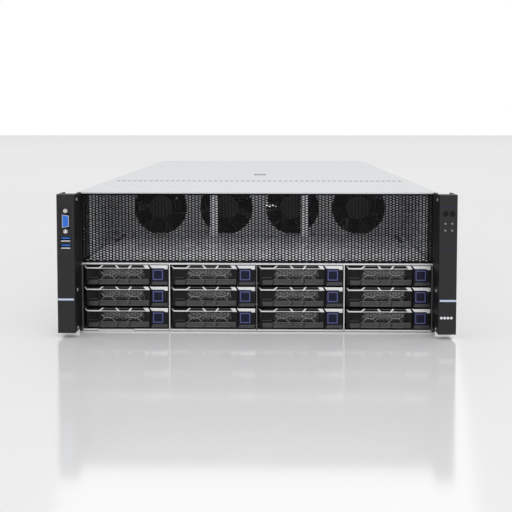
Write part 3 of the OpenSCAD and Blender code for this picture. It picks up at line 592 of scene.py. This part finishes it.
@dataclass
class CarrierFront:
    """The face of a drive carrier: lever, trim, bar and release button, in millimetres from its lower left corner."""

    width: float = 105.4
    height: float = 25.0
    reach: float = 83.0
    window: tuple[float, float, float, float] = (18.7, 77.4, 7.4, 19.6)
    trim_drop: float = 3.7
    trim_w: float = 1.5
    button_x: float = 85.1
    button_z: float = 5.1
    button_w: float = 15.8
    disk_dip: float = 0.2
    bar_top: float = 6.6
    splits: tuple[float, ...] = (17.6, 41.0, 56.0)
    marks: tuple[float, ...] = (40.6, 54.4)
    vent_middle: float = 46.25
    rings: tuple[tuple[float, float], ...] = (
        (-19.2, 16.6), (-13.4, 16.6), (-3.1, 17.2), (3.1, 17.2), (13.4, 16.6), (19.2, 16.6),
        (0.0, 13.9), (-6.0, 13.4), (6.0, 13.4),
    )

    def corner(self, row: int, column: int) -> Vector:
        """Lower left front corner of a carrier, whose disk reaches a little below its tray."""
        low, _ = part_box(f"drive_carrier_{row}{column}")
        return Vector(low) + mm(0, 0, self.disk_dip)

    def plate(self) -> bpy.types.Object:
        """The lever's black plate with its window, its label field and its barrel.

        Returns:
            The joined plate and barrel.
        """
        x0, x1, z0, z1 = self.window
        plate = Bench.outline("plate", [(3.7, 1.6), (7.6, 1.6), (7.6, 0.5), (self.reach, 0.5), (self.reach, 20.8),
                                        (self.reach - 2.4, 24.5), (7.6, 24.5), (7.6, 23.4), (3.7, 23.4)], 0.5, 4.5)
        Bench.cut(plate, Bench.outline("window", [(x0, z0), (x1, z0), (x1 - 3.4, z1), (x0 + 3.4, z1)], -1, 8))
        Bench.cut(plate, Bench.box("field", mm(4.4, -1, 10.2), mm(17.4, 1.6, 20.4)))
        for low, high in ((24.4, 38.2), (45.6, 53.6), (60.2, 73.6)):
            corners = [(low, 21.9), (high, 21.9), (high - 0.9, 23.4), (low + 0.9, 23.4)]
            Bench.cut(plate, Bench.outline("slit", corners, -1, 2.6))
        Bench.round_edges(plate, 0.0003)
        barrel = Bench.rod("barrel", mm(3.6, 3.2, 1.5), mm(3.6, 3.2, 23.5), 3.0 * MM)
        Bench.round_edges(barrel, 0.0003)
        return Bench.join("lever", [Bench.dress(plate, PLASTIC_BLACK), Bench.dress(barrel, PLASTIC_BLACK)])

    def lattice(self) -> list[bpy.types.Object]:
        """The small cells in the window and the two bent ribs in front of them.

        Returns:
            The cells, the ribs and the rings.
        """
        x0, x1, z0, z1 = self.window
        cells = Bench.honeycomb("cells", mm(x0 + 1.8, 2.9, z0 + 1.4), (5.2 * MM, 4.1 * MM), (4.0 * MM, 3.1 * MM),
                                (15, 3), 0.001)
        ribs = []
        for side in (-1, 1):
            for line, height, front in (
                ([(-26.8, 18.6), (-21.1, 12.9), (-11.6, 12.9), (-7.4, 17.2)], 0.95, 0.9),
                ([(-25.8, z0 - 0.2), (-21.1, 11.8), (-20.1, 11.8), (-24.8, z0 - 0.2)], 0.5, 1.3),
                ([(-12.6, 11.8), (-11.6, 11.8), (-6.6, z0 - 0.2), (-7.6, z0 - 0.2)], 0.5, 1.3),
            ):
                bent = [(self.vent_middle + side * x, z) for x, z in line]
                bend = Bench.ribbon(bent, height) if front < 1.0 else bent
                ribs.append(Bench.outline("rib", bend if side > 0 else bend[::-1], front, 2.2))
        for rib in ribs:
            Bench.round_edges(rib, 0.0002, 1)
            Bench.dress(rib, RIB_GREY)
        rings = []
        for x, z in self.rings:
            ring = Bench.honeycomb("ring", mm(self.vent_middle + x, 1.6, z), (4.9 * MM, 4.5 * MM),
                                   (3.7 * MM, 3.3 * MM), (1, 1), 0.0012)
            rings.append(Bench.dress(ring, RING_GREY))
        return [Bench.dress(cells, CELL_GREY), *ribs, *rings]

    def sill(self) -> list[bpy.types.Object]:
        """The grey bars along the foot, parted by slanted splits, and the line under the label field.

        Returns:
            The bars and lines.
        """
        bars = []
        starts = (5.0, *self.splits)
        ends = (*self.splits, self.reach - 1.0)
        for number, (low, high) in enumerate(zip(starts, ends)):
            lean = 0.0 if number == 0 else 2.4
            tail = 0.0 if number == len(starts) - 1 else 2.4
            bar = Bench.outline("bar", [(low + 0.5, 0.7), (high - 0.5, 0.7), (high + tail - 0.5, self.bar_top),
                                        (low + lean + 0.5, self.bar_top)], -0.1, 1.4)
            bars.append(bar)
        line = Bench.outline("line", [(4.8, 9.2), (17.0, 9.2), (17.0, 10.0), (4.8, 10.0)], 0.1, 1.0)
        for bar in (*bars, line):
            Bench.round_edges(bar, 0.0004)
            Bench.dress(bar, PLASTIC_GREY)
        edges = [(18.6, 6.9, self.reach - 1.4, 7.5), (19.2, 1.5, 71.6, 2.0)]
        edges += [(mark - 0.9, 4.4, mark + 0.9, 5.5) for mark in self.marks]
        lines = [Bench.outline("edge", [(x0, z0), (x1, z0), (x1, z1), (x0, z1)], -0.25, 1.2)
                 for x0, z0, x1, z1 in edges]
        for edge in lines:
            Bench.round_edges(edge, 0.00015, 1)
            Bench.dress(edge, RING_GREY)
        return [*bars, line, *lines]

    def zigzag(self) -> list[bpy.types.Object]:
        """The silver line over the lever, which steps down and up, its dull level part and its broad end.

        Returns:
            The trim, the rail and the thin upper lines.
        """
        top = self.height - 0.1
        low = top - self.trim_drop
        w = self.trim_w
        foot = low - w * 0.4
        shapes = [
            [(0.7, top), (4.2, low + w * 0.6), (19.0, low + w * 0.6), (22.6, top),
             (24.9, top), (19.7, foot), (3.5, foot)],
            [(39.0, top), (41.2, top), (45.4, foot), (42.9, foot)],
            [(54.6, foot), (57.2, foot), (60.6, top), (58.4, top)],
            [(74.4, top), (80.4, top), (83.0, foot), (78.2, foot)],
        ]
        pieces = [Bench.outline("trim", shape, -0.3, 1.5) for shape in shapes]
        level = (foot, low + w * 0.35)
        corners = [(18.5, level[0]), (78.6, level[0]), (77.9, level[1]), (19.8, level[1])]
        rail = Bench.outline("rail", corners, -0.1, 1.3)
        for piece in pieces:
            Bench.round_edges(piece, 0.00025)
            Bench.dress(piece, TRIM)
        Bench.round_edges(rail, 0.0002)
        pieces.append(Bench.dress(rail, RAIL_GREY))
        for x0, x1 in ((25.6, 38.6), (42.0, 57.8), (61.2, 74.0)):
            corners = [(x0, top - 0.9), (x1, top - 0.9), (x1, top - 0.4), (x0, top - 0.4)]
            line = Bench.outline("line", corners, 0.1, 1.0)
            Bench.round_edges(line, 0.00015, 1)
            pieces.append(Bench.dress(line, RING_GREY))
        return pieces

    def end_bar(self) -> bpy.types.Object:
        """The silver bar over the button, which reaches down at its right end.

        Returns:
            The bar.
        """
        top = self.height
        foot = top - self.trim_drop - 0.1
        bar = Bench.outline("end_bar", [(85.4, foot), (82.6, top), (self.width, top), (self.width, foot - 1.2),
                                        (self.width - 4.4, foot - 1.2), (self.width - 4.8, foot)], -0.25, 6.5)
        Bench.round_edges(bar, 0.0003)
        return Bench.dress(bar, TRIM)

    def cheek(self) -> list[bpy.types.Object]:
        """Mouldings round the button: the grey foot with its slanted end and the dark side rib.

        Returns:
            The foot and the rib.
        """
        corners = [(84.6, 0.3), (self.width - 0.4, 0.3), (self.width - 0.4, 4.4), (86.4, 4.4)]
        foot = Bench.outline("cheek_foot", corners, -0.3, 2.0)
        rib = Bench.outline("cheek_rib", [(101.6, 5.6), (104.4, 5.6), (104.4, 19.0), (101.6, 19.0)], -0.25, 2.0)
        for piece, finish in ((foot, PLASTIC_GREY), (rib, PLASTIC_BLACK)):
            Bench.round_edges(piece, 0.0003)
            Bench.dress(piece, finish)
        return [foot, rib]

    def button(self) -> bpy.types.Object:
        """The square release button, with a pale ring let into its face.

        Returns:
            The button.
        """
        low, size = (self.button_x, self.button_z), self.button_w
        block = Bench.box("button", mm(low[0], -0.5, low[1]), mm(low[0] + size, 6.0, low[1] + size))
        Bench.round_edges(block, 0.0006, 3)
        inset, wide = 1.5, 1.2
        outer = Bench.box("ring", mm(low[0] + inset, -0.75, low[1] + inset),
                          mm(low[0] + size - inset, 0.2, low[1] + size - inset))
        inner = inset + wide
        Bench.cut(outer, Bench.box("hole", mm(low[0] + inner, -2, low[1] + inner),
                                   mm(low[0] + size - inner, 2, low[1] + size - inner)))
        Bench.round_edges(outer, 0.0002)
        return Bench.join("release_button", [Bench.dress(block, BUTTON_NAVY), Bench.dress(outer, BUTTON_RING)])

    def build(self) -> None:
        """Makes the four pieces once and copies them to the twelve bays."""
        lever = Bench.join("lever_face", [self.plate(), *self.lattice(), *self.sill(), *self.zigzag()])
        bar = Bench.join("carrier_bar", [self.end_bar(), *self.cheek()])
        button = self.button()
        for row in ROWS:
            for column in COLUMNS:
                bay = f"{row}{column}"
                place = self.corner(row, column)
                fit(Bench.copy(lever, f"lever_face_{bay}", place),
                    f"lever_{bay}", "lever_plastic", f"drive_lever_{bay}")
                fit(Bench.copy(bar, f"carrier_bar_{bay}", place), f"carrier_{bay}", "carrier_metal")
                fit(Bench.copy(button, f"button_face_{bay}", place),
                    f"button_{bay}", "blue_plastic", f"drive_button_{bay}")
        for pattern in (lever, bar, button):
            bpy.data.objects.remove(pattern)


@dataclass
class Intake:
    """The perforated panel in front of the fans."""

    cell: tuple[float, float] = (5.533, 3.0)
    hole: tuple[float, float] = (3.7, 1.8)
    thickness: float = 0.9
    border: tuple[float, float, float] = (1.2, 1.0, 2.2)

    def build(self) -> None:
        """Makes the sheet of cells and its folded rim in place of the frame's coarser one."""
        low, high = (Vector(corner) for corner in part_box("intake_mesh"))
        side, foot, head = self.border
        inner_low = low + mm(side, 0, foot)
        inner_high = high - mm(side, 0, head)
        cell = (self.cell[0] * MM, self.cell[1] * MM)
        columns = int((inner_high.x - inner_low.x) / (0.75 * cell[0]) + 0.34)
        rows = int((inner_high.z - inner_low.z) / cell[1] + 0.6)
        start = Vector(((low.x + high.x) / 2 - (columns - 1) * 0.375 * cell[0], low.y,
                        (inner_low.z + inner_high.z) / 2 - (rows - 0.5) * cell[1] / 2))
        sheet = Bench.honeycomb("intake_sheet", start, cell, (self.hole[0] * MM, self.hole[1] * MM),
                                (columns, rows), self.thickness * MM)
        rim = Bench.box("rim", low, high)
        Bench.cut(rim, Bench.box("hole", inner_low - Vector((0, 0.01, 0)), inner_high + Vector((0, 0.01, 0))))
        Bench.round_edges(rim, 0.0003)
        panel = Bench.join("intake_panel", [Bench.dress(sheet, MESH_BLACK), Bench.dress(rim, MESH_BLACK)])
        fit(panel, "chassis", "black_mesh", "intake_mesh")


@dataclass
class Ears:
    """The two ears: their finishes, the sockets on the left one and the screws beside the bays."""

    width: float = 21.9
    stripe_z: float = 46.0
    stripe_h: float = 2.4
    port_x: float = -230.35
    display_z: float = 142.6
    data_z: tuple[float, float] = (112.2, 120.9)
    jack_gap: float = 12.5
    lamp_x: tuple[float, float] = (226.7, 234.8)
    lamp_z: tuple[float, float] = (132.3, 140.6)
    row_x: tuple[float, ...] = (223.1, 227.1, 231.1, 235.1)
    row_z: float = 26.3
    line_z: tuple[float, float] = (109.2, 160.3)
    screw_z: tuple[float, float, float] = (10.0, 57.0, 168.0)

    def paint(self) -> None:
        """Finishes of the ear nodes: dark bodies with nearly black inner sides, the stripe, brackets and lamps."""
        front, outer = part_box("left_ear")[0][1], 0.2413
        inner = outer - self.width * MM
        stripe = (self.stripe_z * MM, (self.stripe_z + self.stripe_h) * MM)
        edges = ((stripe[0] - 0.0006, stripe[0]), (stripe[1], stripe[1] + 0.0006))
        for node, side in (("left_ear", -1), ("right_ear", 1)):
            face = sorted((side * (inner + 0.0016), side * (outer + 0.001)))
            wall = sorted((side * (inner - 0.0001), side * (inner + 0.0004)))
            zones = [Zone(EAR_SIDE, tuple(wall))]
            zones += [Zone(STRIPE_EDGE, tuple(face), (None, front + 0.0125), edge) for edge in edges]
            zones.append(Zone(STRIPE, tuple(face), (None, front + 0.0125), stripe))
            if side < 0:
                port, display = self.port_x * MM, self.display_z * MM
                zones.append(Zone(PORT_BLUE, (port - 0.0042, port + 0.0042), (front + 0.0009, front + 0.0081),
                                  (display - 0.0079, display + 0.0079)))
            else:
                zones += [Zone(LAMP_DIM, y=(None, front + 0.005), disc=(x * MM, z * MM, 0.00125))
                          for x in self.lamp_x for z in self.lamp_z]
                zones += [Zone(LAMP, y=(None, front + 0.005), disc=(x * MM, self.row_z * MM, 0.0016)) for x in self.row_x]
                zones += [Zone(STRIPE_EDGE, tuple(face), (None, front + 0.005), (z * MM - 0.0003, z * MM + 0.0003))
                          for z in self.line_z]
            zones.append(Zone(ZINC, y=(front + 0.0341, None)))
            repaint(node, EAR_BLACK, *zones)
        for key in ("power_button", "id_button"):
            repaint(key, PLASTIC_BLACK)

    def display_socket(self, front: float) -> bpy.types.Object:
        """The blue display socket in its steel shell, between two hexagonal jack posts.

        Args:
            front: the ears' front, in millimetres.

        Returns:
            The socket.
        """
        x, z = self.port_x, self.display_z

        def shape(name: str, grow: float, y: float, depth: float) -> bpy.types.Object:
            """A slab with the socket's slanted outline."""
            h, w = 7.6 + grow, 3.6 + grow
            corners = [(x - w, z - h), (x + w, z - h + 1.6), (x + w, z + h - 1.6), (x - w, z + h)]
            return Bench.outline(name, corners, front + y, depth)

        shell = shape("shell", 0.5, 0.25, 1.4)
        Bench.cut(shell, shape("hole", 0.0, -1.0, 4.0))
        Bench.round_edges(shell, 0.0002)
        insert = shape("insert", -0.15, 0.35, 1.2)
        for column in (-1.5, 0.0, 1.5):
            for row in range(5):
                place = mm(x + column, front, z + (row - 2) * 2.2 + (0.5 if column == 0.0 else 0.0))
                Bench.cut(insert, Bench.rod("pin_hole", place, place + mm(0, 0.9, 0), 0.42 * MM, 8))
        Bench.round_edges(insert, 0.0002)
        pieces = [Bench.dress(shell, PORT_STEEL), Bench.dress(insert, PORT_BLUE)]
        for turn in (-1, 1):
            middle = mm(x, front + 0.1, z + turn * self.jack_gap)
            post = Bench.rod("post", middle, middle + mm(0, 1.0, 0), 2.9 * MM, 6)
            Bench.cut(post, Bench.rod("bore", middle - mm(0, 1, 0), middle + mm(0, 0.7, 0), 1.3 * MM, 16))
            Bench.round_edges(post, 0.0002)
            pieces.append(Bench.dress(post, PORT_STEEL))
        return Bench.join("display_socket", pieces)

    def data_socket(self, front: float, z: float, name: str) -> bpy.types.Object:
        """One data socket: a steel lip below and a blue tongue above its dark mouth.

        Args:
            front: the ears' front, in millimetres.
            z: height of its middle, in millimetres.
            name: its name.

        Returns:
            The socket.
        """
        x = self.port_x
        corners = [(x - 5.6, z - 2.9), (x + 5.6, z - 2.9), (x + 5.6, z - 1.7), (x - 5.6, z - 1.7)]
        lip = Bench.outline("lip", corners, front + 0.1, 6.0)
        corners = [(x - 5.3, z + 0.2), (x + 5.3, z + 0.2), (x + 5.3, z + 1.9), (x - 5.3, z + 1.9)]
        tongue = Bench.outline("tongue", corners, front + 0.6, 8.0)
        for piece, finish in ((lip, PORT_STEEL), (tongue, PORT_BLUE)):
            Bench.round_edges(piece, 0.0003)
            Bench.dress(piece, finish)
        return Bench.join(name, [lip, tongue])

    def side_screw(self) -> bpy.types.Object:
        """A small pan-head screw with a cross recess, lying on an ear's inner side.

        Returns:
            The screw at the height of the floor.
        """
        low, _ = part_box("right_ear")
        place = Vector((low[0], low[1] + 0.0115, 0.0))
        head = Bench.rod("side_screw", place, place - mm(0.7, 0, 0), 1.9 * MM, 24)
        for size in ((0.4, 2.4), (2.4, 0.4)):
            reach = mm(0, *size) / 2
            Bench.cut(head, Bench.box("cross", place - mm(1, 0, 0) - reach, place - mm(0.4, 0, 0) + reach))
        Bench.round_edges(head, 0.00015)
        return Bench.dress(head, ZINC)

    def build(self) -> None:
        """Paints the ears and fits their sockets and screws."""
        self.paint()
        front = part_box("left_ear")[0][1] / MM
        fit(self.display_socket(front), "chassis", "ear_plastic")
        for number, z in enumerate(self.data_z, 1):
            fit(self.data_socket(front, z, f"data_socket_{number}"), "chassis", "ear_plastic")
        screw = self.side_screw()
        for number, z in enumerate(self.screw_z, 1):
            right = fit(Bench.copy(screw, f"right_side_screw_{number}", mm(0, 0, z)), "chassis", "zinc_steel")
            left = Bench.copy(right, f"left_side_screw_{number}", Vector())
            left.data.transform(Matrix.Scale(-1.0, 4, (1, 0, 0)))
            left.data.flip_normals()
            fit(left, "chassis", "zinc_steel")
        bpy.data.objects.remove(screw)


@dataclass
class Housing:
    """Finishes of the sheet-metal and inner nodes, and the thin dark marks of painted shade along the lid's seam."""

    shade_mark_count: int = 53
    shade_mark_pitch: float = 8.0
    shade_mark_size: tuple[float, float] = (4.6, 9.5)
    shade_mark_back: float = 2.4

    def seam(self) -> None:
        """Lays a row of thin dark marks in front of the seam between the fixed lid and the sliding cover: painted shade
        standing in for the shade inside the seam's slots.
        """
        _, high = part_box("front_top_panel")
        left = mm(-(self.shade_mark_count - 1) * self.shade_mark_pitch / 2, 0, 0)
        width, depth = self.shade_mark_size
        near = Vector((0, high[1], high[2])) + left - mm(width / 2, self.shade_mark_back + depth, 0.1)
        # Each mark is a thin dark box laid on the lid: painted shade, standing in for the shade inside the seam's
        # slots.
        strip = Bench.box("seam_shade_marks", near, near + mm(width, depth, 0.2))
        Bench.apply(strip, "ARRAY", count=self.shade_mark_count, use_relative_offset=False, use_constant_offset=True,
                    constant_offset_displace=(self.shade_mark_pitch * MM, 0, 0))
        fit(Bench.dress(strip, SEAM_GREY), "chassis", "grey_plastic")

    def paint(self) -> None:
        """Gives each remaining frame node its finish."""
        for node in ("front_top_panel", "top_cover"):
            repaint(node, LID_PAINT)
        self.seam()
        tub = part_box("chassis_tub")
        front = tub[0][1]
        edge = 0.2186
        repaint("chassis_tub", ZINC,
                Zone(EAR_SIDE, x=(None, -edge), y=(None, front + 0.05)),
                Zone(EAR_SIDE, x=(edge, None), y=(None, front + 0.05)),
                Zone(BRIGHT, x=(-edge, edge), y=(None, front + 0.0013)),
                # The lowest 0.7 mm of the lip's front is painted dark: a painted contact shadow where the tub meets the
                # floor.
                Zone(EDGE_GREY_AND_CONTACT_SHADOW, x=(-edge, edge), y=(None, front + 0.0013), z=(None, 0.0007)))
        repaint("cover_latch", LATCH_GREY, Zone(SEAM_GREY, x=(None, -0.0068)), Zone(SEAM_GREY, x=(0.0068, None)))
        repaint("info_tag", BRIGHT)
        dark = [Zone(EDGE_GREY_AND_CONTACT_SHADOW, x=span, y=(None, front + 0.01), z=(None, 0.0838))
                for span in ((None, -0.217), (-0.002, 0.002), (0.217, None))]
        repaint("drive_cage", BRIGHT, *dark)
        repaint("drive_backplane", BOARD)
        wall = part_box("fan_wall")
        frames = wall[1][1] - 0.038
        # The fan wall is one galvanised sheet: painted light on its floor and the rest, painted shade on its upright
        # plate in front of the fans.
        repaint("fan_wall", LIT_INNER_ZINC, Zone(SHADED_WALL_ZINC, y=(frames - 0.0014, None), z=(0.0861, None)),
                Zone(FAN_BLACK, y=(frames + 0.00002, None)))
        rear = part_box("rear_panel")
        repaint("rear_panel", ZINC, Zone(PORT_STEEL, y=(None, rear[1][1] - 0.0125), z=(None, 0.03)))
        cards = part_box("accelerator_cards")
        repaint("accelerator_cards", SHROUD, Zone(PORT_STEEL, y=(cards[1][1] - 0.00105, None)))
        repaint("circuit_boards", DISK_METAL, Zone(BOARD, z=(0.0079, 0.01001)), Zone(BOARD, z=(0.0549, 0.05701)))
        for number in range(1, 5):
            repaint(f"fan_rotor_{number}", FAN_BLACK)
            low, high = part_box(f"power_supply_{number}")
            face = high[1] - 0.0231
            middle = (low[0] + high[0]) / 2
            repaint(f"power_supply_{number}", ZINC,
                    Zone(FAN_BLACK, y=(face - 0.0115, None), z=(low[2] + 0.002, high[2] - 0.002),
                         x=(middle + 0.0105, high[0] - 0.0042)),
                    Zone(FAN_BLACK, y=(face + 0.0001, None)),
                    Zone(CATCH_BLUE, x=(middle + 0.0272, None), y=(face + 0.0001, None)))
        for row in ROWS:
            for column in COLUMNS:
                node = f"drive_carrier_{row}{column}"
                low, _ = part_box(node)
                repaint(node, PLASTIC_BLACK, Zone(DISK_METAL, y=(low[1] + 0.0153, None)))


# ---------------------------------------------------------------- studio


@dataclass
class Studio:
    """Floor, light and camera."""

    eye: Point = (0.01603, -1.37572, 0.26149)
    turn: float = 0.98
    tilt: float = 3.0
    lens: float = 55.745
    shift: float = -0.1794
    sky: float = 0.62
    mirrored: float = 0.80
    fade: float = 0.30
    lift: tuple[float, float] = (0.05, 1.0)

    def camera(self) -> None:
        """Puts up the camera."""
        Bench.clear()
        bpy.ops.object.camera_add(location=self.eye,
                                  rotation=(math.radians(90 - self.tilt), 0.0, math.radians(self.turn)))
        camera = bpy.context.active_object
        camera.data.lens = self.lens
        camera.data.sensor_width = 36.0
        camera.data.shift_y = self.shift
        camera.data.clip_end = 50.0
        bpy.context.scene.camera = camera

    def floor(self) -> None:
        """Lays a pale glossy floor with a camera-only painted glow, which is lifted with the distance from the part, so
        the floor round the part is painted darker.
        """
        Bench.clear()
        bpy.ops.mesh.primitive_plane_add(size=30.0, location=(0, 0, -0.0002))
        floor = bpy.context.active_object
        floor.name = "floor"
        paint = bpy.data.materials.new("pale_floor")
        paint.use_nodes = True
        tree = paint.node_tree
        shader = tree.nodes["Principled BSDF"]
        shader.inputs["Base Color"].default_value = (0.90, 0.90, 0.905, 1.0)
        shader.inputs["Roughness"].default_value = 0.11
        shader.inputs["IOR"].default_value = 2.1
        shader.inputs["Emission Color"].default_value = (1.0, 1.0, 1.0, 1.0)
        painter = Painter(LAMP)
        painter.tree = tree
        place = painter.node("ShaderNodeSeparateXYZ")
        painter.feed(place.inputs[0], painter.node("ShaderNodeTexCoord").outputs["Object"])
        _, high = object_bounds()
        sides = [painter.math("ABSOLUTE", place.outputs[axis]) for axis in (0, 1)]
        far = [painter.math("MAXIMUM", painter.math("SUBTRACT", side, high[axis]), 0.0)
               for axis, side in enumerate(sides)]
        away = painter.math("SQRT", painter.math("ADD", *(painter.math("POWER", step, 2.0) for step in far)))
        fade = painter.node("ShaderNodeMapRange", interpolation_type="SMOOTHSTEP")
        bounds = (("From Min", 0.0), ("From Max", self.fade), ("To Min", self.lift[0]), ("To Max", self.lift[1]))
        for name, value in bounds:
            fade.inputs[name].default_value = value
        painter.feed(fade.inputs["Value"], away)
        # Painted glow: camera rays see the floor glow, more strongly the further it lies from the part.
        ray = painter.node("ShaderNodeLightPath")
        painter.feed(shader.inputs["Emission Strength"],
                     painter.math("MULTIPLY", fade.outputs["Result"], ray.outputs["Is Camera Ray"]))
        floor.data.materials.append(paint)
        floor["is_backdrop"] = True

    def lamps(self) -> None:
        """Hangs the soft lamps, and two dim ones behind the intake. No camera sees them."""
        _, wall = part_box("fan_wall")
        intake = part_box("intake_mesh")
        inside = (0.0, intake[0][1] + 0.04, intake[1][2] - 0.014)
        for name, place, aim, size, power in (
            ("key", (0.4, -2.2, 2.4), (0, -0.2, 0.1), (2.6, 2.6), 22.0),
            ("fill_left", (-2.4, -0.9, 1.2), (0, 0, 0.1), (2.0, 2.0), 8.0),
            ("fill_right", (2.4, -0.9, 1.2), (0, 0, 0.1), (2.0, 2.0), 8.0),
            ("back", (0.0, 2.6, 1.8), (0, 0.2, 0.1), (2.2, 2.2), 8.0),
            ("intake_down", inside, (0, inside[1] + 0.04, 0.085), (0.40, 0.012), 0.14),
            ("intake_back", inside, (0, wall[1] - 0.04, 0.150), (0.40, 0.012), 0.10),
        ):
            Bench.clear()
            bpy.ops.object.light_add(type="AREA", location=place)
            lamp = bpy.context.active_object
            lamp.name = name
            lamp.data.shape = "RECTANGLE"
            lamp.data.size, lamp.data.size_y = size
            lamp.data.energy = power
            lamp.visible_camera = False
            lamp.rotation_euler = (Vector(aim) - Vector(place)).to_track_quat("-Z", "Y").to_euler()

    def backdrop(self) -> None:
        """Sets the sky: white to the camera, dimmer as a light and in mirrors."""
        world = bpy.context.scene.world or bpy.data.worlds.new("sky")
        bpy.context.scene.world = world
        world.use_nodes = True
        tree = world.node_tree
        sky = tree.nodes["Background"]
        sky.inputs["Color"].default_value = (1.0, 1.0, 1.0, 1.0)
        ray = tree.nodes.new("ShaderNodeLightPath")
        level: bpy.types.NodeSocket | None = None
        for seen, strength in (("Is Glossy Ray", self.mirrored), ("Is Camera Ray", 1.0)):
            step = tree.nodes.new("ShaderNodeMapRange")
            step.inputs["To Max"].default_value = strength
            step.inputs["To Min"].default_value = self.sky
            if level:
                tree.links.new(level, step.inputs["To Min"])
            tree.links.new(ray.outputs[seen], step.inputs["Value"])
            level = step.outputs["Result"]
        tree.links.new(level, sky.inputs["Strength"])
        bpy.context.scene.view_settings.view_transform = "Standard"

    def build(self) -> None:
        """Sets up the whole studio."""
        self.camera()
        self.floor()
        self.lamps()
        self.backdrop()


def main() -> None:
    """Builds the looks in order."""
    logging.basicConfig(level=logging.INFO, format="%(name)s: %(message)s")
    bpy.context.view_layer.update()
    Studio().build()
    Housing().paint()
    Ears().build()
    Intake().build()
    CarrierFront().build()


if __name__ == "__main__":
    main()
